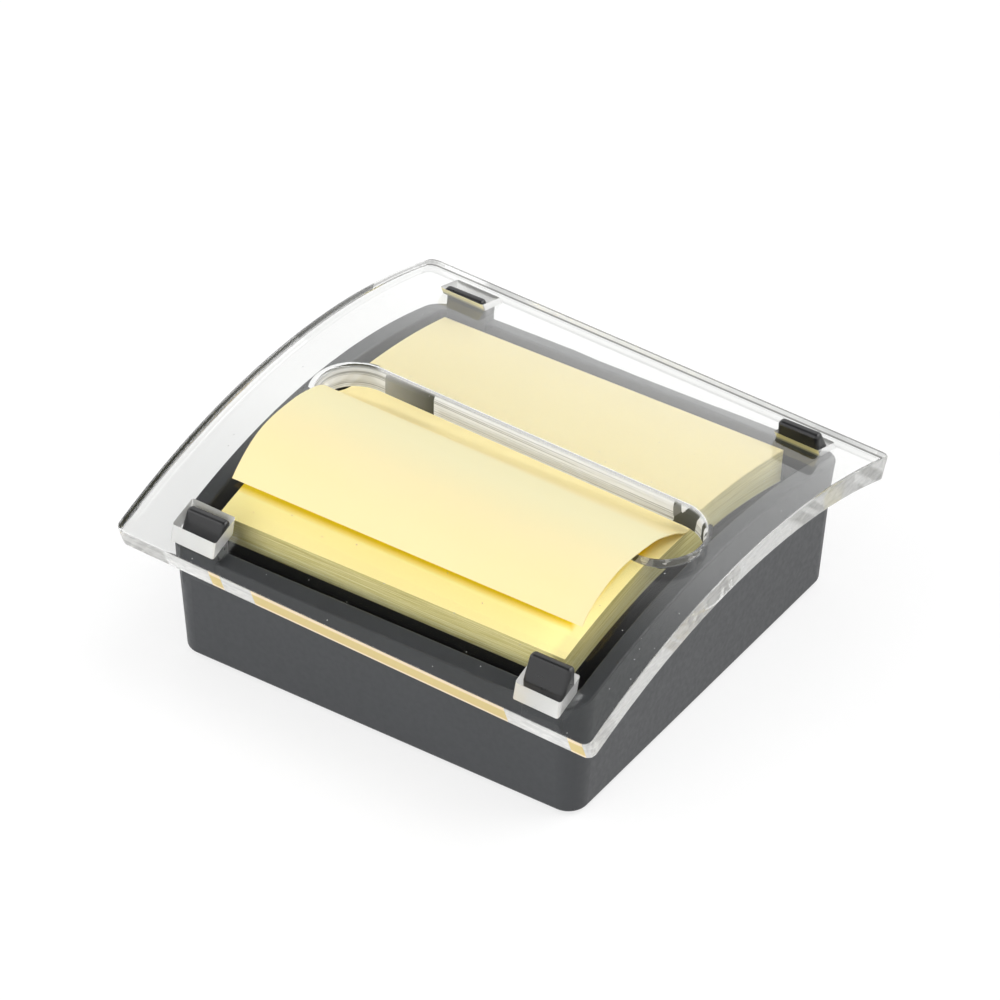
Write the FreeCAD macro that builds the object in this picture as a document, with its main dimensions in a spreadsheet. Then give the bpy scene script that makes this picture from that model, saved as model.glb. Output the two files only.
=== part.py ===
"""Desk dispenser for sticky notes: a weighted black base with an arched clear lid.

Millimetres. +Z is up, +X runs along the slot and -Y is the front.
The origin is on the table, under the middle of the base.
The lid lies as it does in use: down on the right rim and raised on the left.
"""
import FreeCAD
import Part
import Sketcher

import os
from math import acos, pi, sqrt

os.makedirs("parts", exist_ok=True)
doc = FreeCAD.newDocument("note_dispenser")
UP = FreeCAD.Vector(0, 0, 1)
# The sketcher's own numbers for the points of an edge and for the sketch's axes
START, END, CENTRE = range(1, 4)
X_AXIS, Y_AXIS = range(-1, -3, -1)
ORIGIN = (X_AXIS, START)


# Driving dimensions

DRIVING = {
    # notes
    "note_width": 76.2,
    "pad_reach": 73.0,
    "pad_thick": 7.2,
    "pad_x": -1.5,
    "pad_y": 0.8,
    "pad_headroom": 0.3,
    "pad_rest_gap": 0.05,
    "sheet_thick": 0.2,
    "sheet_gap": 0.03,
    "note_drift": 1.7,
    "note_lift_off": 3.5,
    # base moulding
    "pad_side_room": 2.7,
    "pad_end_room": 3.8,
    "base_wall": 3.3,
    "base_corner": 4.0,
    "base_draft": 3.8,
    "base_toe": 0.8,
    "rim_apex": 31.9,
    "rim_edge": 0.4,
    "deck_top": 9.6,
    "deck_thick": 2.2,
    "well_corner": 2.0,
    "cavity_corner": 1.5,
    "seat_side_inset": 2.1,
    "seat_end_inset": 2.5,
    "seat_wall": 2.2,
    # pegs that guide the lid
    "peg_inset": 6.35,
    "peg_setback": 2.5,
    "peg_width": 8.9,
    "peg_crown": 1.8,
    "peg_run": 2.3,
    "peg_rise": 1.6,
    "peg_slope": 27.0,
    "peg_edge": 0.8,
    # clear lid
    "lid_side_over": 7.9,
    "lid_end_over": 8.5,
    "lid_radius": 142.0,
    "lid_thick": 4.85,
    "lid_corner": 1.8,
    "lid_edge": 0.35,
    "lid_tilt": 2.1,
    "lid_slide": 0.15,
    "lid_seat_gap": 0.05,
    "slot_side_room": 3.45,
    "slot_width": 15.6,
    "slot_x": 1.45,
    "slot_y": -2.5,
    "slot_edge": 1.5,
    "slot_under_edge": 0.5,
    "window_play": 0.45,
    "window_inner_play": 0.65,
    "window_depth": 6.35,
    "window_corner": 0.5,
    # underside
    "foot_lift": 0.6,
    "cover_thick": 2.4,
    "cover_play": 0.25,
    "weight_room": 3.8,
    "weight_thick": 3.2,
    "weight_corner": 3.0,
    "boss_inset": 4.3,
    "boss_width": 6.4,
    "boss_play": 0.6,
    "screw_shank": 2.6,
    "screw_play": 0.06,
    "screw_length": 9.0,
    "screw_tip_room": 1.0,
    "screw_head": 5.0,
    "screw_head_tall": 1.2,
    "screw_head_edge": 0.4,
    "screw_sink": 1.4,
    "screw_sink_play": 0.3,
    "screw_cross": 2.8,
    "screw_cross_wide": 0.7,
    "screw_cross_deep": 0.6,
    "foot_width": 9.0,
    "foot_thick": 1.6,
    "foot_play": 0.1,
    "foot_inset": 8.6,
    "foot_edge": 0.3,
    # how far a cut starts clear of the solid, and how near two lengths count as the same
    "cut_margin": 1.0,
    "near": 0.01,
}

# Sizes worked out from the driving ones

DERIVED = {
    "draft_slope": "tan(base_draft * 1 deg)",
    "base_width": "note_width + 2 * (pad_side_room + base_wall)",
    "base_depth": "pad_reach + 2 * (pad_end_room + base_wall)",
    "under_radius": "lid_radius - lid_thick",
    "arch_centre": "rim_apex - under_radius",
    "block_tall": "rim_apex - foot_lift + rim_edge",
    "arch_cut_span": "base_depth + 4 * base_wall",
    "arch_cut_top": "rim_apex + 2 * rim_edge + base_wall",
    "arch_cut_width": "base_width + 4 * base_wall",
    "rim_half_width": "base_width / 2 + (rim_apex - foot_lift) * draft_slope",
    "well_width": "base_width - 2 * base_wall + 2 * (deck_top - foot_lift) * draft_slope",
    "well_depth": "base_depth - 2 * base_wall + 2 * (deck_top - foot_lift) * draft_slope",
    "well_tall": "rim_apex - deck_top + rim_edge",
    "cavity_width": "base_width - 2 * base_wall",
    "cavity_depth": "base_depth - 2 * base_wall",
    "cavity_top": "deck_top - deck_thick",
    "cavity_tall": "cavity_top - foot_lift",
    "seat_width": "note_width - 2 * seat_side_inset",
    "seat_depth": "pad_reach - 2 * seat_end_inset",
    "peg_x": "base_width / 2 - peg_inset",
    "peg_inner": "base_depth / 2 - peg_setback",
    "peg_height": "rim_apex + peg_rise",
    "peg_crown_end": "peg_inner + peg_crown",
    "peg_shoulder": "peg_crown_end + peg_run",
    "peg_knee": "peg_height - peg_run / tan(peg_slope * 1 deg)",
    "peg_heel": "arch_centre + sqrt(under_radius ^ 2 - peg_shoulder ^ 2) - base_wall",
    "peg_root": "well_depth / 2 + base_wall / 2",
    "deck_middle": "deck_top - deck_thick / 2",
    "peg_round": "min(peg_edge; 0.45 * peg_crown)",
    "lid_width": "base_width + 2 * lid_side_over",
    "lid_depth": "base_depth + 2 * lid_end_over",
    "lid_back": "lid_depth / 2",
    "lid_front": "-lid_depth / 2",
    "slot_length": "note_width + 2 * slot_side_room",
    "slot_bend": "slot_width / 2",
    "slot_centres": "slot_length - slot_width",
    "lid_drop_x": "rim_half_width * (1 - cos(lid_tilt * 1 deg)) - rim_apex * sin(lid_tilt * 1 deg)",
    "lid_place_x": "lid_drop_x + lid_slide",
    "lid_place_z": "rim_apex * (1 - cos(lid_tilt * 1 deg)) + rim_half_width * sin(lid_tilt * 1 deg)"
                   " + lid_seat_gap",
    "lid_reach_up": "rim_apex + lid_thick + cut_margin",
    "window_width": "peg_width + 2 * window_play",
    "window_y": "peg_inner - window_inner_play + window_depth / 2",
    "pad_right": "pad_x + note_width / 2",
    "pad_left": "pad_x - note_width / 2",
    "pad_back": "pad_y + pad_reach / 2",
    "pad_front": "pad_y - pad_reach / 2",
    "lid_rise_at_pad": "(rim_half_width - pad_right) * tan(lid_tilt * 1 deg)",
    "pad_radius": "under_radius + lid_rise_at_pad + lid_seat_gap - pad_headroom",
    "pad_under_radius": "pad_radius - pad_thick",
    "seat_radius": "pad_under_radius - pad_rest_gap",
    "seat_hollow_radius": "seat_radius - seat_wall",
    "seat_hollow_width": "seat_width - 2 * seat_wall",
    "seat_hollow_depth": "seat_depth - 2 * seat_wall",
    "slot_far": "slot_y + slot_bend",
    "slot_mid": "slot_x + lid_slide",
    "note_left_over": "note_width / 2 - pad_x + slot_mid - slot_centres / 2",
    "note_right_over": "note_width / 2 + pad_x - slot_mid - slot_centres / 2",
    "note_left_wall": "slot_y + sqrt(slot_bend ^ 2 - note_left_over ^ 2)",
    "note_right_wall": "slot_y + sqrt(slot_bend ^ 2 - note_right_over ^ 2)",
    "note_leaves_pad": "slot_far + note_lift_off",
    "note_crown": "arch_centre + pad_radius + sheet_gap",
    "cover_width": "cavity_width - 2 * cover_play",
    "cover_depth": "cavity_depth - 2 * cover_play",
    "cover_top": "foot_lift + cover_thick",
    "weight_width": "cavity_width - 2 * weight_room",
    "weight_depth": "cavity_depth - 2 * weight_room",
    "boss_x": "seat_hollow_width / 2 - boss_inset",
    "boss_y": "seat_hollow_depth / 2 - boss_inset",
    "boss_top": "arch_centre + sqrt((seat_radius - seat_wall / 2) ^ 2 - boss_y ^ 2)",
    "boss_tall": "boss_top - cover_top",
    "boss_pass": "boss_width + 2 * boss_play",
    "screw_pass": "screw_shank + 2 * screw_play",
    "screw_seat": "foot_lift + screw_sink",
    "screw_hole_tall": "screw_seat + screw_length + screw_tip_room - cover_top",
    "screw_sink_width": "screw_head + 2 * screw_sink_play",
    "foot_x": "base_width / 2 - foot_inset",
    "foot_y": "base_depth / 2 - foot_inset",
    "foot_sink": "foot_thick - foot_lift",
    "foot_sink_width": "foot_width + 2 * foot_play",
}

sheet = doc.addObject("Spreadsheet::Sheet", "sizes")


def fill_sheet():
    """Writes both tables of sizes as cells with aliases."""
    row = 1
    for name, amount in DRIVING.items():
        sheet.set("A%d" % row, name)
        sheet.set("B%d" % row, str(amount))
        sheet.setAlias("B%d" % row, name)
        row += 1
    for name, formula in DERIVED.items():
        sheet.set("A%d" % row, name)
        sheet.set("B%d" % row, "=" + formula)
        sheet.setAlias("B%d" % row, name)
        row += 1
    doc.recompute()


def size(name):
    """A size's present value."""
    amount = getattr(sheet, name)
    return float(getattr(amount, "Value", amount))


def tie(thing, where, name, sign=1):
    """Binds a property to a size, or to its opposite."""
    thing.setExpression(where, ("-sizes." if sign < 0 else "sizes.") + name)


# Sketches

def new_body(name):
    """An empty body labelled with the sub-part's name."""
    body = doc.addObject("PartDesign::Body", name)
    body.Label = name
    return body


def new_sketch(body, name, role="XY_Plane", lift=None, sign=1):
    """A sketch on one of the body's own origin planes, lifted along its normal."""
    sketch = body.newObject("Sketcher::SketchObject", name)
    plane = [item for item in body.Origin.OriginFeatures if item.Role == role][0]
    sketch.AttachmentSupport = [(plane, "")]
    sketch.MapMode = "FlatFace"
    if lift:
        tie(sketch, "AttachmentOffset.Base.z", lift, sign)
    return sketch


def constrain(sketch, kind, *where):
    """Adds one geometric constraint."""
    sketch.addConstraint(Sketcher.Constraint(kind, *where))


def dimension(sketch, name, kind, *where, sign=1):
    """Adds one dimension that takes its value from the sheet."""
    index = sketch.addConstraint(Sketcher.Constraint(kind, *where, sign * size(name)))
    label = "size_%d" % index
    sketch.renameConstraint(index, label)
    tie(sketch, "Constraints." + label, name, sign)


def flat(x, y):
    """A point in a sketch."""
    return FreeCAD.Vector(x, y, 0)


def line(sketch, start, end):
    """Adds a straight edge."""
    return sketch.addGeometry(Part.LineSegment(start, end), False)


def arc(sketch, centre, radius, start_angle, end_angle):
    """Adds a round edge, counterclockwise."""
    circle = Part.Circle(centre, UP, radius)
    return sketch.addGeometry(Part.ArcOfCircle(circle, start_angle, end_angle), False)


def rounded_rectangle(sketch, width, depth, corner, across=None, along=None, signs=(1, 1)):
    """A rectangle with round corners about the origin, or about a dimensioned point."""
    half_width = size(width) / 2
    half_depth = size(depth) / 2
    radius = size(corner)
    middle = ORIGIN
    centre = flat(0, 0)
    if across:
        centre = flat(signs[0] * size(across), signs[1] * size(along))
        middle = (sketch.addGeometry(Part.Point(centre), True), START)
        dimension(sketch, across, "DistanceX", *ORIGIN, *middle, sign=signs[0])
        dimension(sketch, along, "DistanceY", *ORIGIN, *middle, sign=signs[1])
    corners = []
    for turn, (right, up) in enumerate([(1, -1), (1, 1), (-1, 1), (-1, -1)]):
        bend = centre + flat(right * (half_width - radius), up * (half_depth - radius))
        begin = (turn - 1) * pi / 2
        corners.append(arc(sketch, bend, radius, begin, begin + pi / 2))
    sides = []
    for turn in range(4):
        before = sketch.Geometry[corners[turn - 1]].EndPoint
        after = sketch.Geometry[corners[turn]].StartPoint
        sides.append(line(sketch, before, after))
    for turn in range(4):
        constrain(sketch, "Tangent", corners[turn - 1], END, sides[turn], START)
        constrain(sketch, "Tangent", sides[turn], END, corners[turn], START)
        constrain(sketch, "Vertical" if turn % 2 else "Horizontal", sides[turn])
    for other in corners[1:]:
        constrain(sketch, "Equal", corners[0], other)
    constrain(sketch, "Symmetric", corners[0], CENTRE, corners[2], CENTRE, *middle)
    dimension(sketch, corner, "Radius", corners[0])
    dimension(sketch, width, "DistanceX", sides[3], START, sides[1], START)
    dimension(sketch, depth, "DistanceY", sides[0], START, sides[2], START)


def four_circles(sketch, across, along, width):
    """Four equal circles, one in each quarter."""
    for right in (-1, 1):
        for up in (-1, 1):
            centre = flat(right * size(across), up * size(along))
            index = sketch.addGeometry(Part.Circle(centre, UP, size(width) / 2), False)
            dimension(sketch, across, "DistanceX", *ORIGIN, index, CENTRE, sign=right)
            dimension(sketch, along, "DistanceY", *ORIGIN, index, CENTRE, sign=up)
            dimension(sketch, width, "Diameter", index)


def disc(sketch, width):
    """One circle about the origin."""
    index = sketch.addGeometry(Part.Circle(flat(0, 0), UP, size(width) / 2), False)
    constrain(sketch, "Coincident", index, CENTRE, *ORIGIN)
    dimension(sketch, width, "Diameter", index)


def rectangle(sketch, width, depth):
    """A rectangle about the origin."""
    half_width = size(width) / 2
    half_depth = size(depth) / 2
    corners = [flat(-half_width, -half_depth), flat(half_width, -half_depth),
               flat(half_width, half_depth), flat(-half_width, half_depth)]
    sides = []
    for turn in range(4):
        sides.append(line(sketch, corners[turn], corners[(turn + 1) % 4]))
    for turn in range(4):
        constrain(sketch, "Coincident", sides[turn], END, sides[(turn + 1) % 4], START)
        constrain(sketch, "Vertical" if turn % 2 else "Horizontal", sides[turn])
    constrain(sketch, "Symmetric", sides[0], START, sides[2], START, *ORIGIN)
    dimension(sketch, width, "DistanceX", sides[0], START, sides[0], END)
    dimension(sketch, depth, "DistanceY", sides[1], START, sides[1], END)


def polygon(sketch, corners, sign=1):
    """A closed outline through points that are each given by two sizes."""
    points = [flat(sign * size(across), size(up)) for across, up in corners]
    edges = []
    for number, point in enumerate(points):
        edges.append(line(sketch, points[number - 1], point))
    for number, (across, up) in enumerate(corners):
        following = edges[(number + 1) % len(edges)]
        constrain(sketch, "Coincident", edges[number], END, following, START)
        dimension(sketch, across, "DistanceX", *ORIGIN, edges[number], END, sign=sign)
        dimension(sketch, up, "DistanceY", *ORIGIN, edges[number], END)


def obround(sketch, across, along):
    """The slot's outline with half-round ends, about a dimensioned point."""
    radius = size("slot_bend")
    reach = size("slot_centres") / 2
    middle = flat(size(across), size(along))
    back_side = flat(0, radius)
    end_centre = flat(reach, 0)
    mark = sketch.addGeometry(Part.Point(middle), True)
    right = arc(sketch, middle + end_centre, radius, -pi / 2, pi / 2)
    left = arc(sketch, middle - end_centre, radius, pi / 2, 3 * pi / 2)
    back = line(sketch, middle + end_centre + back_side, middle - end_centre + back_side)
    front = line(sketch, middle - end_centre - back_side, middle + end_centre - back_side)
    constrain(sketch, "Tangent", right, END, back, START)
    constrain(sketch, "Tangent", back, END, left, START)
    constrain(sketch, "Tangent", left, END, front, START)
    constrain(sketch, "Tangent", front, END, right, START)
    constrain(sketch, "Horizontal", back)
    constrain(sketch, "Symmetric", right, CENTRE, left, CENTRE, mark, START)
    dimension(sketch, "slot_bend", "Radius", right)
    dimension(sketch, "slot_centres", "DistanceX", left, CENTRE, right, CENTRE)
    dimension(sketch, across, "DistanceX", *ORIGIN, mark, START)
    dimension(sketch, along, "DistanceY", *ORIGIN, mark, START)


def arched_block(sketch, radius, span, level):
    """The outline between an arc and a level line, square at its ends."""
    half = size(span) / 2
    reach = size(radius)
    centre_z = size("arch_centre")
    level_z = size(level)
    begin = acos(half / reach)
    top = arc(sketch, flat(0, centre_z), reach, begin, pi - begin)
    right = line(sketch, sketch.Geometry[top].StartPoint, flat(half, level_z))
    base = line(sketch, flat(half, level_z), flat(-half, level_z))
    left = line(sketch, flat(-half, level_z), sketch.Geometry[top].EndPoint)
    constrain(sketch, "Coincident", top, START, right, START)
    constrain(sketch, "Coincident", right, END, base, START)
    constrain(sketch, "Coincident", base, END, left, START)
    constrain(sketch, "Coincident", left, END, top, END)
    constrain(sketch, "Vertical", right)
    constrain(sketch, "Vertical", left)
    constrain(sketch, "PointOnObject", top, CENTRE, Y_AXIS)
    constrain(sketch, "Symmetric", base, START, base, END, Y_AXIS)
    dimension(sketch, "arch_centre", "DistanceY", *ORIGIN, top, CENTRE)
    dimension(sketch, radius, "Radius", top)
    dimension(sketch, span, "DistanceX", base, END, base, START)
    dimension(sketch, level, "DistanceY", *ORIGIN, base, START)


def arched_band(sketch, outer, inner, front, back, radial):
    """The outline between two arcs about one centre, with radial or upright ends."""
    centre = flat(0, size("arch_centre"))
    above = arc(sketch, centre, size(outer), acos(size(back) / size(outer)), acos(size(front) / size(outer)))
    if radial:
        begin = acos(size(back) / size(outer))
        finish = acos(size(front) / size(outer))
    else:
        begin = acos(size(back) / size(inner))
        finish = acos(size(front) / size(inner))
    below = arc(sketch, centre, size(inner), begin, finish)
    back_end = line(sketch, sketch.Geometry[above].StartPoint, sketch.Geometry[below].StartPoint)
    front_end = line(sketch, sketch.Geometry[above].EndPoint, sketch.Geometry[below].EndPoint)
    constrain(sketch, "Coincident", above, START, back_end, START)
    constrain(sketch, "Coincident", below, START, back_end, END)
    constrain(sketch, "Coincident", above, END, front_end, START)
    constrain(sketch, "Coincident", below, END, front_end, END)
    constrain(sketch, "Coincident", above, CENTRE, below, CENTRE)
    constrain(sketch, "PointOnObject", above, CENTRE, Y_AXIS)
    for end in (back_end, front_end):
        if radial:
            constrain(sketch, "PointOnObject", above, CENTRE, end)
        else:
            constrain(sketch, "Vertical", end)
    dimension(sketch, "arch_centre", "DistanceY", *ORIGIN, above, CENTRE)
    dimension(sketch, outer, "Radius", above)
    dimension(sketch, inner, "Radius", below)
    dimension(sketch, back, "DistanceX", *ORIGIN, above, START)
    dimension(sketch, front, "DistanceX", *ORIGIN, above, END)


# Features

def pad(body, sketch, length, midplane=False, taper=None):
    """Raises a sketch along its normal."""
    feature = body.newObject("PartDesign::Pad", sketch.Name + "_pad")
    feature.Profile = sketch
    feature.Midplane = midplane
    tie(feature, "Length", length)
    if taper:
        tie(feature, "TaperAngle", taper)
    doc.recompute()
    return feature


def pocket(body, sketch, length=None, upward=False, midplane=False, taper=None):
    """Cuts a sketch out of the body, all the way through where no length is given."""
    before = body.Shape.Volume
    feature = body.newObject("PartDesign::Pocket", sketch.Name + "_pocket")
    feature.Profile = sketch
    feature.Reversed = upward
    feature.Midplane = midplane
    if length:
        tie(feature, "Length", length)
    else:
        feature.Type = "ThroughAll"
    if taper:
        tie(feature, "TaperAngle", taper)
    doc.recompute()
    if not body.Shape.Volume < before:
        raise RuntimeError(sketch.Name + " cuts nothing")
    return feature


def edges_where(feature, wanted):
    """The names of the edges whose middle point passes a test."""
    names = []
    for number, edge in enumerate(feature.Shape.Edges, start=1):
        middle = edge.valueAt((edge.FirstParameter + edge.LastParameter) / 2)
        if wanted(edge, middle):
            names.append("Edge%d" % number)
    return names


def fillet(body, name, wanted, radius):
    """Rounds the chosen edges of the body's last feature."""
    last = body.Tip
    feature = body.newObject("PartDesign::Fillet", name)
    feature.Base = (last, edges_where(last, wanted))
    tie(feature, "Radius", radius)
    doc.recompute()
    return feature


# Base moulding

def arch_height(radius, y):
    """The height of an arc of the shared arch at a distance from the middle."""
    return size("arch_centre") + sqrt(radius ** 2 - y ** 2)


def build_peg(side, end):
    """One guide peg: upright inside, sloped outside, rounded, and rooted in the wall and the deck."""
    name = "peg_%s_%s" % ("right" if side > 0 else "left", "back" if end > 0 else "front")
    body = new_body(name)
    outline = new_sketch(body, name + "_outline", "YZ_Plane", lift="peg_x", sign=side)
    polygon(outline, [("peg_inner", "deck_middle"), ("peg_inner", "peg_height"),
                      ("peg_crown_end", "peg_height"),
                      ("peg_shoulder", "peg_knee"), ("peg_shoulder", "peg_heel"), ("peg_root", "deck_middle")],
            sign=end)
    pad(body, outline, "peg_width", midplane=True)
    buried = size("peg_heel") + size("near")
    fillet(body, name + "_rounds", lambda edge, middle: middle.z > buried, "peg_round")
    return body


def build_base():
    """The tapered block with its well, arched seat, hollow underside, bosses and pegs."""
    body = new_body("base_shell")

    block = new_sketch(body, "block", lift="foot_lift")
    rounded_rectangle(block, "base_width", "base_depth", "base_corner")
    pad(body, block, "block_tall", taper="base_draft")
    bottom = size("foot_lift")
    fillet(body, "toe", lambda edge, middle: abs(middle.z - bottom) < size("near"), "base_toe")

    rim = new_sketch(body, "rim_arch", "YZ_Plane")
    arched_block(rim, "under_radius", "arch_cut_span", "arch_cut_top")
    pocket(body, rim, "arch_cut_width", midplane=True)

    well = new_sketch(body, "well", lift="deck_top")
    rounded_rectangle(well, "well_width", "well_depth", "well_corner")
    pocket(body, well, "well_tall", upward=True, taper="base_draft")

    def on_rim(edge, middle):
        off_arch = abs(middle.z - arch_height(size("under_radius"), middle.y))
        return edge.Length > size("base_wall") / 2 and off_arch < 2 * size("near")
    fillet(body, "rim_round", on_rim, "rim_edge")

    seat = new_sketch(body, "seat", "YZ_Plane")
    arched_block(seat, "seat_radius", "seat_depth", "deck_middle")
    pad(body, seat, "seat_width", midplane=True)

    cavity = new_sketch(body, "cavity", lift="foot_lift")
    rounded_rectangle(cavity, "cavity_width", "cavity_depth", "cavity_corner")
    pocket(body, cavity, "cavity_tall", upward=True)

    hollow = new_sketch(body, "seat_hollow", "YZ_Plane")
    arched_block(hollow, "seat_hollow_radius", "seat_hollow_depth", "cover_top")
    pocket(body, hollow, "seat_hollow_width", midplane=True)

    bosses = new_sketch(body, "bosses", lift="cover_top")
    four_circles(bosses, "boss_x", "boss_y", "boss_width")
    pad(body, bosses, "boss_tall")

    holes = new_sketch(body, "screw_holes", lift="cover_top")
    four_circles(holes, "boss_x", "boss_y", "screw_pass")
    pocket(body, holes, "screw_hole_tall", upward=True)

    pegs = body.newObject("PartDesign::Boolean", "pegs_joined")
    pegs.Type = "Fuse"
    pegs.setObjects([build_peg(side, end) for side in (-1, 1) for end in (-1, 1)])
    doc.recompute()
    return body


# Clear lid

def build_lid():
    """The arched plate with its slot and windows, tilted onto the right rim."""
    body = new_body("clear_lid")

    section = new_sketch(body, "lid_section", "YZ_Plane")
    arched_band(section, "lid_radius", "under_radius", "lid_front", "lid_back", radial=True)
    pad(body, section, "lid_width", midplane=True)
    half_width = size("lid_width") / 2

    def at_corner(edge, middle):
        return abs(abs(middle.x) - half_width) < size("near") and across_plate(edge, middle)

    def across_plate(edge, middle):
        return abs(edge.Length - size("lid_thick")) < size("near")
    fillet(body, "lid_corners", at_corner, "lid_corner")
    fillet(body, "lid_rounds", lambda edge, middle: not across_plate(edge, middle), "lid_edge")

    slot = new_sketch(body, "slot", lift="lid_reach_up")
    obround(slot, "slot_x", "slot_y")
    pocket(body, slot)

    def slot_edge_at(radius):
        reach_x = size("slot_length") / 2 + size("near")
        reach_y = size("slot_width") / 2 + size("near")

        def chosen(edge, middle):
            in_slot = abs(middle.x - size("slot_x")) < reach_x and abs(middle.y - size("slot_y")) < reach_y
            return in_slot and abs(middle.z - arch_height(size(radius), middle.y)) < size("near")
        return chosen
    fillet(body, "slot_round", slot_edge_at("lid_radius"), "slot_edge")
    fillet(body, "slot_under_round", slot_edge_at("under_radius"), "slot_under_edge")

    windows = new_sketch(body, "windows", lift="lid_reach_up")
    for right in (-1, 1):
        for up in (-1, 1):
            rounded_rectangle(windows, "window_width", "window_depth", "window_corner",
                              "peg_x", "window_y", (right, up))
    pocket(body, windows)

    tilt = FreeCAD.Rotation(FreeCAD.Vector(0, 1, 0), size("lid_tilt"))
    body.Placement = FreeCAD.Placement(FreeCAD.Vector(size("lid_place_x"), 0, size("lid_place_z")), tilt)
    tie(body, "Placement.Base.x", "lid_place_x")
    tie(body, "Placement.Base.z", "lid_place_z")
    body.setExpression("Placement.Rotation.Angle", "sizes.lid_tilt * 1 deg")
    return body


# Notes

def build_pad():
    """The stack of notes, bent over the arched seat, with upright ends."""
    body = new_body("note_pad")
    section = new_sketch(body, "pad_section", "YZ_Plane")
    arched_band(section, "pad_radius", "pad_under_radius", "pad_front", "pad_back", radial=False)
    pad(body, section, "note_width", midplane=True)
    tie(body, "Placement.Base.x", "pad_x")
    return body


# The popped sheet's side edges, from the pad through the slot to the free end: distance behind the slot's wall
# over that side, and height over the pad's crown
NOTE_LEFT = [(7.1, 0.1), (5.5, 0.5), (3.8, 1.1), (2.0, 1.9), (0.2, 3.2), (-1.2, 4.7), (-2.7, 6.2), (-4.4, 7.3),
             (-7.7, 8.5), (-11.1, 9.4), (-15.7, 10.0), (-21.3, 10.2), (-25.8, 9.5), (-29.7, 7.8), (-32.2, 6.2),
             (-34.0, 4.7)]
NOTE_RIGHT = [(1.4, -0.12), (-0.2, -0.04), (-1.5, 0.25), (-2.8, 1.0), (-4.9, 2.4), (-7.3, 3.6), (-11.0, 5.3),
              (-14.6, 6.3), (-19.6, 7.2), (-25.3, 7.7), (-30.5, 7.1), (-34.2, 6.0), (-36.8, 4.7), (-38.3, 3.3)]


def note_section(across, wall, points):
    """The edges round one side section of the popped sheet.

    Its back half lies on the pad along an arc. The rest is one smooth curve up through the slot, which also
    drifts sideways towards the free end.
    """
    along = FreeCAD.Vector(1, 0, 0)
    centre = FreeCAD.Vector(across, 0, size("arch_centre"))
    thick = size("sheet_thick")
    low = size("pad_radius") + size("sheet_gap")
    leaves = size("note_leaves_pad")
    run = leaves - wall - points[-1][0]

    def on_arc(radius, y):
        return FreeCAD.Vector(across, y, arch_height(radius, y))

    def free_spot(behind, above):
        y = wall + behind
        return FreeCAD.Vector(across + size("note_drift") * (leaves - y) / run, y, size("note_crown") + above)

    def smooth(spots, first):
        curve = Part.BSplineCurve()
        free = len(spots) - 1
        curve.interpolate(Points=spots, Tangents=[first] * (free + 1), TangentFlags=[True] + [False] * free)
        return curve

    spots = [on_arc(low, leaves)] + [free_spot(behind, above) for behind, above in points]
    first = along.cross(spots[0] - centre).normalize()
    under = smooth(spots, first)
    raised = []
    steps = 6 * len(points)
    for step in range(steps + 1):
        spot = under.value(under.LastParameter * step / steps)
        way = FreeCAD.Vector(*under.tangent(under.LastParameter * step / steps)[0])
        raised.append(spot + way.cross(along).normalize() * thick)
    over = smooth(raised, first)

    back = size("pad_back")
    middle = (back + leaves) / 2
    low_arc = Part.Arc(on_arc(low, back), on_arc(low, middle), spots[0])
    high_arc = Part.Arc(on_arc(low + thick, back), on_arc(low + thick, middle), raised[0])
    tip = Part.LineSegment(spots[-1], raised[-1])
    root = Part.LineSegment(on_arc(low + thick, back), on_arc(low, back))
    return [curve.toShape() for curve in (low_arc, high_arc, under, over, tip, root)]


def build_popped_note():
    """The top sheet: half on the pad, half pulled up through the slot and curling forward."""
    left = note_section(size("pad_left"), size("note_left_wall"), NOTE_LEFT)
    right = note_section(size("pad_right"), size("note_right_wall"), NOTE_RIGHT)
    sheet_body = doc.addObject("Part::Feature", "popped_note")
    sheet_body.Label = "popped_note"
    faces = [Part.makeRuledSurface(one, other) for one, other in zip(left, right)]
    for low_arc, high_arc, under, over, *ends in (left, right):
        faces.append(Part.makeRuledSurface(low_arc, high_arc))
        faces.append(Part.makeRuledSurface(under, over))
    skin = Part.Shell(faces)
    skin.sewShape()
    sheet = Part.Solid(Part.Shell(skin.Faces))
    if sheet.Volume < 0:
        sheet.reverse()
    sheet_body.Shape = sheet
    return sheet_body


# Underside

def build_cover():
    """The plate that closes the underside, with sunk screw seats and foot recesses."""
    body = new_body("bottom_cover")
    plate = new_sketch(body, "cover_plate", lift="foot_lift")
    rounded_rectangle(plate, "cover_width", "cover_depth", "cavity_corner")
    pad(body, plate, "cover_thick")

    sinks = new_sketch(body, "screw_sinks", lift="foot_lift")
    four_circles(sinks, "boss_x", "boss_y", "screw_sink_width")
    pocket(body, sinks, "screw_sink", upward=True)

    holes = new_sketch(body, "cover_holes", lift="foot_lift")
    four_circles(holes, "boss_x", "boss_y", "screw_pass")
    pocket(body, holes, "cover_thick", upward=True)

    recesses = new_sketch(body, "foot_recesses", lift="foot_lift")
    four_circles(recesses, "foot_x", "foot_y", "foot_sink_width")
    pocket(body, recesses, "foot_sink", upward=True)
    return body


def build_weight():
    """The steel plate on the cover, with room round the bosses."""
    body = new_body("weight_plate")
    plate = new_sketch(body, "weight_outline", lift="cover_top")
    rounded_rectangle(plate, "weight_width", "weight_depth", "weight_corner")
    pad(body, plate, "weight_thick")
    passes = new_sketch(body, "boss_passes", lift="cover_top")
    four_circles(passes, "boss_x", "boss_y", "boss_pass")
    pocket(body, passes, "weight_thick", upward=True)
    return body


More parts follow.
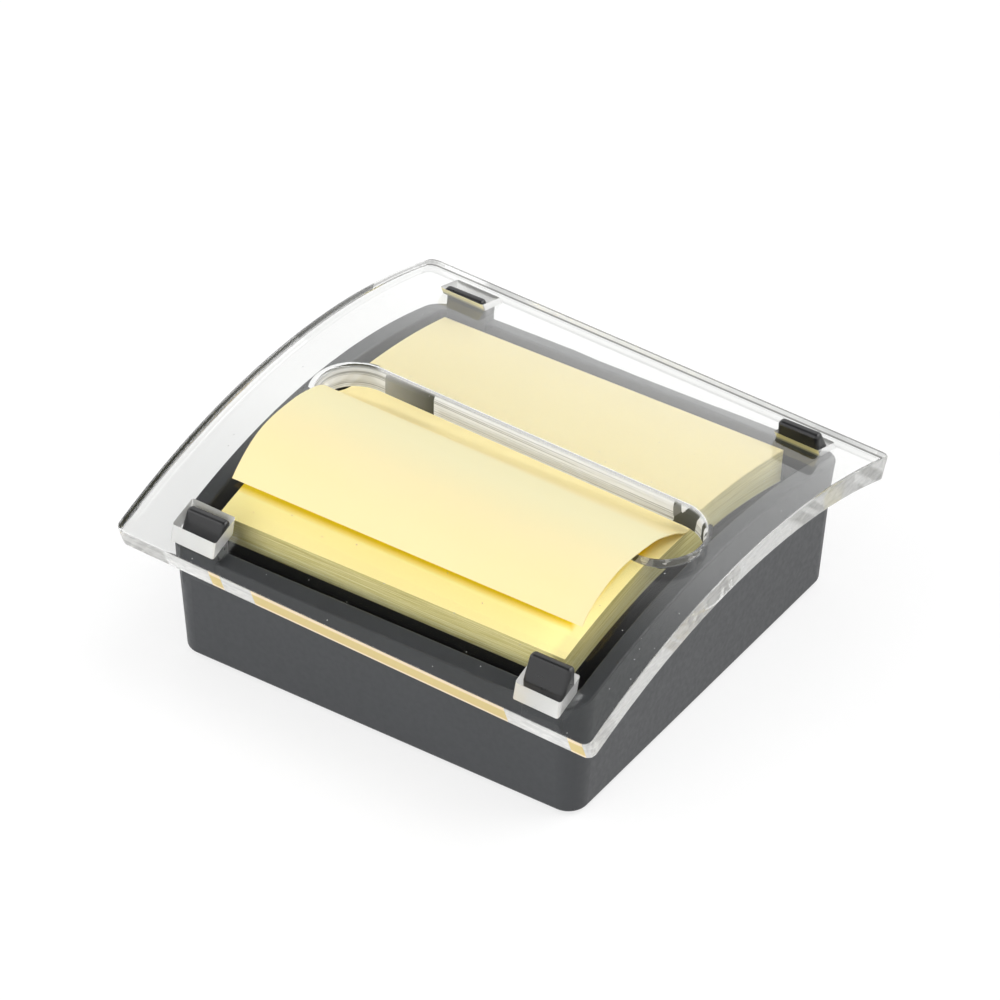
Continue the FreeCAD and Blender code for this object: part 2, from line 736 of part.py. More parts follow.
def place_in_quarter(body, number, across, along, level=None):
    """Moves a body to its quarter: 1 front left, 2 front right, 3 back right, 4 back left."""
    right, up = [(-1, -1), (1, -1), (1, 1), (-1, 1)][number - 1]
    tie(body, "Placement.Base.x", across, right)
    tie(body, "Placement.Base.y", along, up)
    if level:
        tie(body, "Placement.Base.z", level)


def build_screw(number):
    """A pan-head screw, head down, with a cross recess. Its own zero is the seat of its head."""
    body = new_body("cover_screw_%d" % number)
    tag = "_%d" % number
    head = new_sketch(body, "screw_head_outline" + tag)
    disc(head, "screw_head")
    head_pad = pad(body, head, "screw_head_tall")
    head_pad.Reversed = True
    doc.recompute()
    low = -size("screw_head_tall")
    fillet(body, "screw_head_round" + tag, lambda edge, middle: abs(middle.z - low) < size("near"),
           "screw_head_edge")

    shank = new_sketch(body, "screw_shank_outline" + tag)
    disc(shank, "screw_shank")
    pad(body, shank, "screw_length")

    for name, across, along in (("long", "screw_cross", "screw_cross_wide"),
                                ("short", "screw_cross_wide", "screw_cross")):
        recess = new_sketch(body, "screw_cross_" + name + tag, lift="screw_head_tall", sign=-1)
        rectangle(recess, across, along)
        pocket(body, recess, "screw_cross_deep", upward=True)
    place_in_quarter(body, number, "boss_x", "boss_y", "screw_seat")
    return body


def build_foot(number):
    """A rubber disc, stuck in its recess, with a rounded lower edge."""
    body = new_body("foot_%d" % number)
    outline = new_sketch(body, "foot_outline_%d" % number)
    disc(outline, "foot_width")
    pad(body, outline, "foot_thick")
    fillet(body, "foot_round_%d" % number, lambda edge, middle: abs(middle.z) < size("near"), "foot_edge")
    place_in_quarter(body, number, "foot_x", "foot_y")
    return body


# The whole dispenser

def check(parts):
    """Stops if anything in the document failed or a sub-part is not one sound solid."""
    for item in doc.Objects:
        if "Invalid" in item.State or "Error" in item.State:
            raise RuntimeError(item.Name + " failed: " + str(item.State))
    for part in parts:
        shape = part.Shape
        if shape.isNull() or not shape.isValid() or len(shape.Solids) != 1:
            raise RuntimeError(part.Label + " is not one sound solid")


fill_sheet()
PARTS = [build_base(), build_cover(), build_weight(), build_lid(), build_pad(), build_popped_note()]
for quarter in (1, 2, 3, 4):
    PARTS.append(build_screw(quarter))
    PARTS.append(build_foot(quarter))
doc.recompute()
check(PARTS)
for sub_part in PARTS:
    sub_part.Shape.exportStep("parts/" + sub_part.Label + ".step")
    print(sub_part.Label, round(sub_part.Shape.Volume, 1))
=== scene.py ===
"""Looks of the sticky note dispenser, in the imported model's frame. Metres."""

import math

import bpy
from mathutils import Matrix, Vector

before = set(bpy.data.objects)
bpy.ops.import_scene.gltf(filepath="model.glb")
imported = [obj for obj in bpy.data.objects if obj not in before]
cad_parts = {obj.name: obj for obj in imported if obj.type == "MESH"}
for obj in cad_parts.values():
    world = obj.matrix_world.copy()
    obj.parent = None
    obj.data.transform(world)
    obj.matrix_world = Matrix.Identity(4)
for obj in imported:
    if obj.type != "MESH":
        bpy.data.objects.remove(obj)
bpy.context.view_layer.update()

MM = 0.001

# Camera

IMAGE_SIZE = 1000
SENSOR = 36.0
CAMERA_AZIMUTH = 33.349
CAMERA_ELEVATION = 37.396
CAMERA_ROLL = 0.633
CAMERA_DISTANCE = 1192.6 * MM
CAMERA_FOCUS_PIXELS = 6458.8
CAMERA_TARGET = Vector((1.947, -5.228, 30.648)) * MM
CAMERA_NEAREST = 0.05
CAMERA_FARTHEST = 20

# Lamps: place, aim, width, height, watts, and whether gloss mirrors them

LAMPS = {
    "key": ((0.9, 0.9, 1.5), (0, 0, 0.02), 1.2, 1.2, 17, True),
    "fill": ((-1.2, -0.8, 1.0), (0, 0, 0.02), 1.0, 1.0, 5, True),
    "front": ((-0.3, -1.5, 0.45), (0, 0, 0.03), 1.2, 0.5, 12, False),
}

# Surround: its strength for scattered light, and what gloss sees low down and overhead

WORLD_LIGHT = 0.68
WORLD_WHITE = 1.45
WORLD_DIM = 0.05
WORLD_WHITE_BELOW = 0.68
WORLD_DIM_ABOVE = 0.92

# Floor: its tone for scattered light, and the lit and the own share of what is seen straight

FLOOR_SIZE = 8
FLOOR_TONE = 0.82
FLOOR_LIT = 0.28
FLOOR_GLOW = 0.72

# The arch that the rim, the pad and the lid share

ARCH_CENTRE = -105.25 * MM
RIM_RADIUS = 137.15 * MM

# Base: heights from the rim where the pegs begin, and the half sizes of the well; pegs and well are painted
# darker as painted shade

PEG_BEGINS = 0.3 * MM
PEG_FULL = 0.8 * MM
WELL_TOP = -0.6 * MM
WELL_HALF_WIDTH = 43.0 * MM
WELL_HALF_DEPTH = 42.5 * MM

# The height of the finest relief

FINE_RELIEF = 0.01 * MM

# Lid: its lean over the arch, its thickness and its regions

LID_RISE = 1.7 * MM
LID_SLOPE = -0.0367
LID_THICK = 4.85 * MM
LID_HALF = 49.0 * MM
LID_LEFT = -46.0 * MM
LID_BACK = 45.0 * MM
FAR_SIDE_SOFT = 3.0 * MM
SLOT_END = 33.0 * MM
WINDOW_INNER = 28.0 * MM
DEEP_RAY = 4.5

# Lid: the share of a normal along Y on a wall across it, and along the arch's radius off the cut edges

TURNED = 0.6
OFF_THE_EDGES = (0.6, 0.9)

# Lid: how milky its cut edges are, where the front one carries a painted tan reflection of the notes, and
# where the back windows carry a painted yellow reflection of the pad

EDGE_FROST = 0.7
BACK_FROST = 0.75
WALL_FROST = 0.7
WINDOW_FROST = 0.4
WINDOW_FRONT_FROST = 0.8
NOTE_REFLECTION_FROST = 0.85
HAZE_SHARE = 0.4
FLECK_SCALE = 700
PAD_REFLECTION_UPWARD = (1.2 * MM, 1.6 * MM)
NOTE_REFLECTION_TO_BORDER = (1.3 * MM, 1.8 * MM)
NOTE_REFLECTION_STRETCHES = ((-30.8 * MM, -28.2 * MM), (-21.3 * MM, 34 * MM), (47.5 * MM, 50.6 * MM))

# Lid: painted dark reflections on the left and back edges, as distances from the middle of the plate's
# thickness

LEFT_REFLECTION_BAND = (0.6 * MM, 1.1 * MM)
LEFT_REFLECTION_FADE = 35 * MM
BACK_REFLECTION_LINES = (1.0 * MM, 1.5 * MM)

# Lid: other marks

SHADED_STRETCH = (-31 * MM, -20 * MM)
SAW_LINE_SCALE = 2600
SAW_LINE_STRETCH = 0.004
FACET_SCALE = 600
DUST_SCALE = 900
DUST_SHARE = 0.5
DUST_SIZES = (0.04, 0.13)
DUST_RARE = 0.93

# Popped note: where along Y it is painted paler by the slot as painted light, and where its hidden half
# begins, painted darker as painted shade

SHEET_LIT_BEGINS = (-28 * MM, -10 * MM)
SHEET_LIT_ENDS = (-4 * MM, 1 * MM)
SHEET_HIDDEN = (-3 * MM, 1 * MM)
SHEET_HAZE_SHARE = 0.3

# Pad: its underside, the painted shade along its foot, and the strip in front of the popped note with its
# painted shadow, painted light and painted glow

PAD_UNDER_RADIUS = 129.45 * MM
PAD_FRONT = -35.7 * MM
# Painted shade: a dark band along the pad's foot, higher on the front face
FOOT_SHADE_HEIGHT = 1.85 * MM
FRONT_FOOT_SHADE_EXTRA = 0.9 * MM
FOOT_SHADE_SOFT = 0.15 * MM
PAD_LINE_SCALE = 9000
PAD_LINE_STRETCH = 0.008
PAD_LINE_RELIEF = 0.04 * MM
PAD_LINE_RANGE = (0.36, 0.64)
# Painted light: where the cut edges turn lighter low down
PAD_EDGE_LIT_SPAN = (PAD_UNDER_RADIUS + 2 * MM, PAD_UNDER_RADIUS + 8 * MM)
PAD_BACK_BEGINS = (-5 * MM, 5 * MM)
SHEET_GLOW = 0.15
SHEET_GLOW_ENDS = (-12 * MM, -4 * MM)
SHEET_SHADE_END = -28.5 * MM
SHEET_SHADE_SOFT = 1.6 * MM
SHEET_SIDE = 33.0 * MM
SHEET_SIDE_SOFT = 1.5 * MM


def linear(red, green, blue):
    """A colour given as it looks, 0 to 255, turned into the shader's own values."""
    values = []
    for part in (red, green, blue):
        share = part / 255
        values.append(share / 12.92 if share <= 0.04045 else ((share + 0.055) / 1.055) ** 2.4)
    return tuple(values)


def grey(tone):
    """A colour without a hue."""
    return (tone, tone, tone)


# Colours

WHITE = grey(1)
BLACK_WALLS = ((0.022, 0.024, 0.027), (0.028, 0.0305, 0.034))
# Painted shade: the deeper black on the pegs and inside the well
PAINTED_SHADE_BLACK = (0.004, 0.0042, 0.005)
RUBBER_BLACKS = (grey(0.018), grey(0.03))

LID_TINT = (0.865, 0.87, 0.86)
SPENT_LIGHT = (0.7, 0.7, 0.69)
SPENT_AT_FAR_SIDE = (0.08, 0.08, 0.055)
WALL_MILK = (0.9, 0.9, 0.89)
EDGE_MILK = (0.68, 0.68, 0.67)
# Painted reflection: the tan that the yellow notes throw into the front edge, paler towards its borders
NOTE_REFLECTION_MIDDLE = linear(216, 194, 128)
NOTE_REFLECTION_BORDER = linear(240, 220, 188)
# Painted reflection: the pad's yellow on the back windows' walls, darker low down
PAD_REFLECTION_LOW = (0.45, 0.43, 0.26)
PAD_REFLECTION_HIGH = (0.9, 0.8, 0.36)
# Dark tone for the saw lines, and for painted shade and painted dark reflections on the cut edges
DARK_LINE_AND_PAINTED_SHADE = (0.06, 0.06, 0.045)
DUST = grey(0.8)
SHADOW_TINT = grey(0.98)

SHEET_FRONT = (linear(253, 241, 192), linear(254, 243, 200))
# Painted light: the paler tone by the slot
SHEET_LIT_BY_SLOT = linear(252, 251, 216)
# Painted shade: the darker tone of the hidden half
SHEET_BEHIND_SHADED = linear(246, 237, 186)
SHEET_THROUGH = (1.0, 0.84, 0.2)

PAD_BEHIND = (linear(228, 217, 168), linear(232, 221, 174))
# Painted shadow of the popped note on the pad's strip, and painted light further forward
PAD_SHADED = linear(250, 213, 5)
PAD_OPEN_LIT = linear(255, 243, 178)
PAD_UPPER_EDGE = (linear(194, 182, 110), linear(240, 229, 168))
# Painted light: the cut edges' lighter tone low down
PAD_LOWER_EDGE_LIT = (linear(228, 216, 136), linear(255, 252, 200))
# Painted shade along the pad's foot
FOOT_SHADE = (0.012, 0.012, 0.010)
# Painted glow under the popped note
GLOW_SHADED = (1.0, 0.74, 0.01)
GLOW_OPEN = (1.0, 0.85, 0.3)


def make_camera():
    """The photograph's viewpoint: a long lens, turned a little about its own axis."""
    turn = math.radians(CAMERA_AZIMUTH)
    rise = math.radians(CAMERA_ELEVATION)
    roll = math.radians(CAMERA_ROLL)
    back = Vector((math.sin(turn) * math.cos(rise), -math.cos(turn) * math.cos(rise), math.sin(rise)))
    level = Vector((math.cos(turn), math.sin(turn), 0))
    upright = back.cross(level)
    right = math.cos(roll) * level + math.sin(roll) * upright
    up = back.cross(right)
    lens = bpy.data.cameras.new("camera")
    lens.sensor_width = SENSOR
    lens.lens = CAMERA_FOCUS_PIXELS / IMAGE_SIZE * SENSOR
    lens.clip_start = CAMERA_NEAREST
    lens.clip_end = CAMERA_FARTHEST
    camera = bpy.data.objects.new("camera", lens)
    place = Matrix.Translation(CAMERA_TARGET + back * CAMERA_DISTANCE)
    camera.matrix_world = place @ Matrix((right, up, back)).transposed().to_4x4()
    bpy.context.scene.collection.objects.link(camera)
    bpy.context.scene.camera = camera


def area_light(name, place, aim, width, height, power, mirrored):
    """A soft rectangular lamp."""
    light = bpy.data.lights.new(name, "AREA")
    light.shape = "RECTANGLE"
    light.size = width
    light.size_y = height
    light.energy = power
    lamp = bpy.data.objects.new(name, light)
    lamp.location = place
    lamp.rotation_mode = "QUATERNION"
    lamp.rotation_quaternion = (Vector(aim) - Vector(place)).to_track_quat("-Z", "Y")
    lamp.visible_glossy = mirrored
    bpy.context.scene.collection.objects.link(lamp)


# Shader building

class Tree:
    """A shader node tree, built up from small steps. A value is a constant or another node's output."""

    def __init__(self, node_tree):
        self.nodes = node_tree.nodes
        self.links = node_tree.links

    def feed(self, value, socket):
        """Sets a constant on a socket, or links another node's output to it."""
        if isinstance(value, (int, float)):
            socket.default_value = value
        elif isinstance(value, tuple):
            socket.default_value = (*value, 1)
        else:
            self.links.new(value, socket)

    def maths(self, kind, *values):
        """One arithmetic step on one or two values."""
        node = self.nodes.new("ShaderNodeMath")
        node.operation = kind
        for value, socket in zip(values, node.inputs):
            self.feed(value, socket)
        return node.outputs[0]

    def chain(self, kind, first, *others):
        """The same arithmetic step from value to value, from left to right."""
        for value in others:
            first = self.maths(kind, first, value)
        return first

    def times(self, *values):
        """The product of several values. For masks, this is where all of them hold."""
        return self.chain("MULTIPLY", *values)

    def largest(self, *values):
        """The largest of several values. For masks, this is where any of them holds."""
        return self.chain("MAXIMUM", *values)

    def above(self, value, limit):
        """1 where a value is above the limit."""
        return self.maths("GREATER_THAN", value, limit)

    def below(self, value, limit):
        """1 where a value is below the limit."""
        return self.maths("LESS_THAN", value, limit)

    def size(self, value):
        """A value without its sign."""
        return self.maths("ABSOLUTE", value)

    def spread(self, value, low, high, from_low=0.3, from_high=0.7, kind="LINEAR"):
        """The value, mapped from one range to another."""
        node = self.nodes.new("ShaderNodeMapRange")
        node.interpolation_type = kind
        node.inputs["From Min"].default_value = from_low
        node.inputs["From Max"].default_value = from_high
        node.inputs["To Min"].default_value = low
        node.inputs["To Max"].default_value = high
        self.links.new(value, node.inputs["Value"])
        return node.outputs["Result"]

    def parts(self, vector):
        """The three parts of a vector or colour."""
        node = self.nodes.new("ShaderNodeSeparateXYZ")
        self.links.new(vector, node.inputs[0])
        return node.outputs["X"], node.outputs["Y"], node.outputs["Z"]

    def plain(self, kind, colour, **values):
        """A simple shader of one colour."""
        node = self.nodes.new("ShaderNode" + kind)
        for name, value in {"Color": colour, **values}.items():
            self.feed(value, node.inputs[name])
        return node.outputs[0]

    def mix_shaders(self, factor, first, second):
        """A blend of two shaders."""
        node = self.nodes.new("ShaderNodeMixShader")
        for value, socket in zip((factor, first, second), node.inputs):
            self.feed(value, socket)
        return node.outputs[0]

    def add_shaders(self, first, second):
        """The sum of two shaders."""
        node = self.nodes.new("ShaderNodeAddShader")
        for shader, socket in zip((first, second), node.inputs):
            self.links.new(shader, socket)
        return node.outputs[0]

    def mirrored_or_seen(self):
        """1 for a ray that the camera, gloss or clear plastic sends on, and 0 for scattered light."""
        ray = self.nodes.new("ShaderNodeLightPath").outputs
        return self.largest(ray["Is Camera Ray"], ray["Is Glossy Ray"], ray["Is Transmission Ray"])


class Recipe(Tree):
    """A node material with a principled shader."""

    def __init__(self, name):
        self.material = bpy.data.materials.new(name)
        self.material.use_nodes = True
        super().__init__(self.material.node_tree)
        self.shader = self.nodes["Principled BSDF"]
        self.place = self.nodes.new("ShaderNodeTexCoord").outputs["Object"]

    def set(self, **values):
        """Constants or values for the shader's own sockets, with _ for a space in their names."""
        for name, value in values.items():
            self.feed(value, self.shader.inputs[name.replace("_", " ")])
        return self

    def finish(self, surface):
        """The material, with another surface than its own shader alone."""
        self.links.new(surface, self.nodes["Material Output"].inputs["Surface"])
        return self.material

    def stretched(self, scale):
        """The object's own coordinates, scaled along each axis."""
        mapping = self.nodes.new("ShaderNodeMapping")
        mapping.inputs["Scale"].default_value = scale
        self.links.new(self.place, mapping.inputs["Vector"])
        return mapping.outputs["Vector"]

    def noise(self, scale, detail=2.0, rough=0.5, place=None):
        """A noise value between 0 and 1."""
        texture = self.nodes.new("ShaderNodeTexNoise")
        texture.inputs["Scale"].default_value = scale
        texture.inputs["Detail"].default_value = detail
        texture.inputs["Roughness"].default_value = rough
        self.links.new(place or self.place, texture.inputs["Vector"])
        return texture.outputs["Fac"]

    def cells(self, scale, place):
        """Irregular cells: three chance values for each cell, and the distance from its middle."""
        texture = self.nodes.new("ShaderNodeTexVoronoi")
        texture.inputs["Scale"].default_value = scale
        self.links.new(place, texture.inputs["Vector"])
        return self.parts(texture.outputs["Color"]), texture.outputs["Distance"]

    def blend(self, factor, first, second):
        """A colour between two colours."""
        node = self.nodes.new("ShaderNodeMix")
        node.data_type = "RGBA"
        self.links.new(factor, node.inputs["Factor"])
        for name, colour in (("A", first), ("B", second)):
            socket = [item for item in node.inputs if item.name == name and item.type == "RGBA"][0]
            self.feed(colour, socket)
        return [item for item in node.outputs if item.type == "RGBA"][0]

    def bump(self, value, height, strength):
        """Small relief, in metres of height."""
        node = self.nodes.new("ShaderNodeBump")
        node.inputs["Distance"].default_value = height
        node.inputs["Strength"].default_value = strength
        self.links.new(value, node.inputs["Height"])
        return self.set(Normal=node.outputs["Normal"])

    def arch_level(self, across, along, height, rise=0.0, slope=0.0):
        """The height over the shared arch's centre and the distance from it."""
        lifted = self.maths("ADD", self.times(across, slope), ARCH_CENTRE + rise)
        over = self.maths("SUBTRACT", height, lifted)
        far = self.maths("SQRT", self.maths("ADD", self.times(over, over), self.times(along, along)))
        return over, far

    def layers(self, across, along, level, scale, stretch):
        """Fine uneven lines at constant distance from the arch's centre."""
        spot = self.nodes.new("ShaderNodeCombineXYZ")
        self.links.new(self.times(across, stretch), spot.inputs["X"])
        self.links.new(self.times(along, stretch), spot.inputs["Y"])
        self.links.new(level, spot.inputs["Z"])
        return self.noise(scale, 2, 0.6, spot.outputs[0])

    def stretches(self, across, *pairs):
        """1 where a length lies in one of the stretches."""
        total = 0.0
        for begin, finish in pairs:
            inside = self.times(self.above(across, begin), self.below(across, finish))
            total = self.maths("ADD", inside, total)
        return total


def make_world():
    """An even white surround for light and for the camera. Gloss sees it white low down and dim overhead."""
    world = bpy.data.worlds.new("studio")
    bpy.context.scene.world = world
    world.use_nodes = True
    tree = Tree(world.node_tree)
    tree.nodes.clear()
    height = tree.parts(tree.nodes.new("ShaderNodeTexCoord").outputs["Generated"])[2]
    mirrored = tree.spread(height, WORLD_WHITE, WORLD_DIM, WORLD_WHITE_BELOW, WORLD_DIM_ABOVE, "SMOOTHSTEP")
    lit = tree.plain("Background", WHITE, Strength=WORLD_LIGHT)
    seen = tree.plain("Background", WHITE)
    overhead = tree.plain("Background", WHITE, Strength=mirrored)
    ray = tree.nodes.new("ShaderNodeLightPath")
    straight = tree.mix_shaders(ray.outputs["Is Glossy Ray"], seen, overhead)
    surround = tree.mix_shaders(tree.mirrored_or_seen(), lit, straight)
    tree.links.new(surround, tree.nodes.new("ShaderNodeOutputWorld").inputs["Surface"])


# Materials

def black_plastic():
    """Satin moulded plastic with a fine grain. The pegs and the inside of the well are painted deeper black
    as painted shade, and the pegs are glossier.
    """
    recipe = Recipe("black_plastic").set(IOR=1.54)
    across, along, height = recipe.parts(recipe.place)
    level = recipe.arch_level(across, along, height)[1]
    on_peg = recipe.spread(level, 0, 1, RIM_RADIUS + PEG_BEGINS, RIM_RADIUS + PEG_FULL)
    in_plan = recipe.times(recipe.below(recipe.size(across), WELL_HALF_WIDTH),
                           recipe.below(recipe.size(along), WELL_HALF_DEPTH))
    in_well = recipe.times(recipe.below(level, RIM_RADIUS + WELL_TOP), in_plan)
    wall = recipe.blend(recipe.noise(60, 3), *BLACK_WALLS)
    grain = recipe.spread(recipe.noise(900, 3), 0.42, 0.52)
    # The pegs and the inside of the well get the deeper black as painted shade
    recipe.set(Base_Color=recipe.blend(recipe.largest(on_peg, in_well), wall, PAINTED_SHADE_BLACK),
               Roughness=recipe.maths("SUBTRACT", grain, recipe.times(on_peg, 0.15)))
    return recipe.bump(recipe.noise(3200, 2), FINE_RELIEF, 0.15).material


class LidPlastic(Recipe):
    """Clear cast plastic, a little grey, with frosted saw lines on its cut edges and a little dust. Its cut
    edges also carry painted reflections and painted shade.
    """

    def __init__(self):
        super().__init__("clear_plastic")
        self.set(IOR=1.49, Roughness=0.0, Transmission_Weight=1.0, Base_Color=LID_TINT)
        self.bump(self.noise(25, 1), FINE_RELIEF, 0.3)
        self.ray = self.nodes.new("ShaderNodeLightPath").outputs
        self.across, self.along, height = self.parts(self.place)
        self.over, self.level = self.arch_level(self.across, self.along, height, LID_RISE, LID_SLOPE)
        self.depth = self.maths("SUBTRACT", self.level, RIM_RADIUS)
        self.from_middle = self.size(self.maths("SUBTRACT", self.depth, LID_THICK / 2))
        self.find_faces()
        self.find_regions()

    def find_faces(self):
        """Finds the cut edges, and which way they look. A normal met from inside the plate is turned back."""
        geometry = self.nodes.new("ShaderNodeNewGeometry").outputs
        facing = self.parts(geometry["Normal"])
        self.from_inside = geometry["Backfacing"]
        ahead = self.times(facing[1], self.spread(self.from_inside, 1, -1, 0, 1))
        self.forward = self.below(ahead, -TURNED)
        self.backward = self.above(ahead, TURNED)
        along_arch = self.maths("ADD", self.times(facing[1], self.along), self.times(facing[2], self.over))
        outward = self.size(self.maths("DIVIDE", along_arch, self.level))
        self.on_edge = self.spread(outward, 1, 0, *OFF_THE_EDGES)

    def find_regions(self):
        """Finds the four outer edges, and the windows and the slot inside them."""
        self.at_front = self.below(self.along, -LID_HALF)
        self.at_back = self.above(self.along, LID_HALF)
        self.at_left = self.below(self.across, -LID_HALF)
        self.near = self.largest(self.at_front, self.above(self.across, LID_HALF))
        outer = self.largest(self.near, self.largest(self.at_left, self.at_back))
        self.inside = self.maths("SUBTRACT", 1.0, outer)
        self.at_window = self.times(self.inside, self.above(self.size(self.along), WINDOW_INNER))
        self.at_slot = self.maths("SUBTRACT", self.inside, self.at_window)

    def spent_light(self, body):
        """Light that has run far inside the plate is taken to come out evenly, dark at the far sides."""
        deep = self.times(self.above(self.ray["Ray Depth"], DEEP_RAY),
                          self.below(self.ray["Diffuse Depth"], 0.5))
        far_side = self.largest(self.spread(self.across, 1, 0, LID_LEFT, LID_LEFT + FAR_SIDE_SOFT),
                                self.spread(self.along, 0, 1, LID_BACK, LID_BACK + FAR_SIDE_SOFT))
        spent = self.plain("Emission", self.blend(far_side, SPENT_LIGHT, SPENT_AT_FAR_SIDE))
        return self.mix_shaders(deep, body, spent)

    def milky_share(self, note_reflection):
        """How much of each cut edge is frosted, and how strongly the painted reflection of the notes shows on
        the front stretches.
        """
        flecks = self.noise(FLECK_SCALE, 3, 0.6, self.stretched((0.3, 0.3, 1)))
        flecked = self.times(self.near, self.spread(flecks, 0.7, 1.0, 0.4, 0.6), EDGE_FROST)
        window_front = self.times(self.at_window, self.backward)
        wall = self.chain("ADD", WALL_FROST, self.times(self.at_window, WINDOW_FROST - WALL_FROST),
                          self.times(window_front, WINDOW_FRONT_FROST - WINDOW_FROST))
        return self.largest(self.maths("ADD", flecked, self.times(self.inside, wall)),
                            self.times(self.at_back, BACK_FROST), self.times(note_reflection, NOTE_REFLECTION_FROST))

    def milky_tone(self, note_reflection):
        """The frosted edges' colour: pale, with a painted yellow reflection of the pad in the back windows
        and a painted tan reflection of the notes in the front stretches.
        """
        tone = self.blend(self.near, WALL_MILK, EDGE_MILK)
        # Painted reflection of the pad on the front walls of the back windows
        pad_reflection_wall = self.times(self.at_window, self.backward, self.above(self.along, 0.0))
        yellow = self.blend(self.spread(self.depth, 0, 1, *PAD_REFLECTION_UPWARD), PAD_REFLECTION_LOW, PAD_REFLECTION_HIGH)
        tan = self.blend(self.spread(self.from_middle, 0, 1, *NOTE_REFLECTION_TO_BORDER), NOTE_REFLECTION_MIDDLE, NOTE_REFLECTION_BORDER)
        return self.blend(note_reflection, self.blend(pad_reflection_wall, tone, yellow), tan)

    def milky_edges(self, body):
        """Frosts the cut edges and lays painted reflections of the notes and of the pad on them. Part of the
        light goes through the frost.
        """
        # The front edge's stretches that carry the painted reflection of the notes
        note_reflection = self.times(self.at_front, self.forward, self.stretches(self.across, *NOTE_REFLECTION_STRETCHES))
        tone = self.milky_tone(note_reflection)
        milky = self.mix_shaders(HAZE_SHARE, self.plain("BsdfDiffuse", tone),
                                 self.plain("BsdfTranslucent", tone))
        return self.mix_shaders(self.times(self.on_edge, self.milky_share(note_reflection)), body, milky)

    def slot_marks(self):
        """Saw lines and a stretch of painted shade on the slot's walls, and dark patches in cells at its
        right end.
        """
        lines = self.layers(self.across, self.along, self.level, SAW_LINE_SCALE, SAW_LINE_STRETCH)
        # Painted shade on a stretch of the slot's far wall
        shaded = self.times(self.at_slot, self.forward, self.stretches(self.across, SHADED_STRETCH))
        facets = self.cells(FACET_SCALE, self.stretched((1, 1, 0.5)))[0]
        at_end = self.times(self.at_slot, self.above(self.across, SLOT_END))
        return self.largest(self.times(self.at_slot, self.spread(lines, 0, 0.5, 0.54, 0.6)),
                            self.times(shaded, self.spread(self.across, 0.6, 0.97, *SHADED_STRETCH)),
                            self.times(at_end, self.spread(facets[0], 0, 0.95, 0.3, 0.5)))

    def painted_edge_reflections(self):
        """Painted dark reflections: the bands that the left and the back edge show through the plate, and
        from nowhere else.
        """
        # Painted dark reflections on the left and the back edge, seen only from inside the plate
        left = self.times(self.at_left, self.spread(self.from_middle, 0.93, 0, *LEFT_REFLECTION_BAND),
                          self.spread(self.along, 1, 0.5, 0, LEFT_REFLECTION_FADE))
        back = self.times(self.at_back, self.spread(self.from_middle, 0, 0.92, *BACK_REFLECTION_LINES))
        return self.times(self.largest(left, back), self.from_inside)

    def dark_marks(self, body):
        """Draws the dark marks on the cut edges: saw lines, dark patches, painted shade and painted dark
        reflections.
        """
        dark = self.largest(self.slot_marks(), self.painted_edge_reflections())
        return self.mix_shaders(self.times(self.on_edge, dark), body, self.plain("BsdfDiffuse", DARK_LINE_AND_PAINTED_SHADE))

    def dust(self, body):
        """Strews a few specks, one in each chosen cell, each of its own size."""
        chance, distance = self.cells(DUST_SCALE, self.place)
        speck = self.times(self.below(distance, self.spread(chance[1], *DUST_SIZES, 0, 1)),
                           self.above(chance[0], DUST_RARE))
        return self.mix_shaders(self.times(speck, DUST_SHARE), body, self.plain("BsdfDiffuse", DUST))

    def build(self):
        """The whole material. Shadow rays pass it, so what lies under it is lit."""
        body = self.shader.outputs[0]
        for step in (self.spent_light, self.milky_edges, self.dark_marks, self.dust):
            body = step(body)
        passing = self.plain("BsdfTransparent", SHADOW_TINT)
        return self.finish(self.mix_shaders(self.ray["Is Shadow Ray"], body, passing))


def note_paper():
    """The popped note: a little uneven in tone, painted paler by the slot as painted light, with a fine fibre
    relief.

    Its hidden half is painted a darker tone, as painted shade. Light goes through the sheet.
    """
    recipe = Recipe("pale_yellow_paper").set(Roughness=0.75, IOR=1.4)
    along = recipe.parts(recipe.place)[1]
    # Paler by the slot as painted light
    lit_by_slot = recipe.times(recipe.spread(along, 0, 1, *SHEET_LIT_BEGINS),
                           recipe.spread(along, 1, 0, *SHEET_LIT_ENDS))
    front = recipe.blend(lit_by_slot, recipe.blend(recipe.noise(45, 2), *SHEET_FRONT), SHEET_LIT_BY_SLOT)
    # The hidden half is painted darker as painted shade
    recipe.set(Base_Color=recipe.blend(recipe.spread(along, 0, 1, *SHEET_HIDDEN), front, SHEET_BEHIND_SHADED))
    recipe.bump(recipe.noise(2500, 3, 0.6), FINE_RELIEF, 0.3)
    through = recipe.plain("BsdfTranslucent", SHEET_THROUGH)
    return recipe.finish(recipe.mix_shaders(SHEET_HAZE_SHARE, recipe.shader.outputs[0], through))


def pad_edge(recipe, along_normal, level, lines):
    """The tone of the pad's cut edges: fine olive lines, painted lighter low down as painted light, over a
    band of painted shade along the foot, higher on the front face.
    """
    # Lighter low down as painted light
    low = recipe.spread(level, 1, 0, *PAD_EDGE_LIT_SPAN)
    on_line = recipe.spread(lines, 0, 1, *PAD_LINE_RANGE)
    upper = recipe.blend(on_line, *PAD_UPPER_EDGE)
    lower_lit = recipe.blend(on_line, *PAD_LOWER_EDGE_LIT)
    # Dark band along the foot as painted shade, higher on the front face
    front_shade_extra = recipe.times(recipe.below(along_normal, -0.5), FRONT_FOOT_SHADE_EXTRA)
    above_foot_shade = recipe.chain("SUBTRACT", level, PAD_UNDER_RADIUS + FOOT_SHADE_HEIGHT, front_shade_extra)
    return recipe.blend(recipe.spread(above_foot_shade, 0, 1, -FOOT_SHADE_SOFT, FOOT_SHADE_SOFT), FOOT_SHADE,
                        recipe.blend(low, upper, lower_lit))


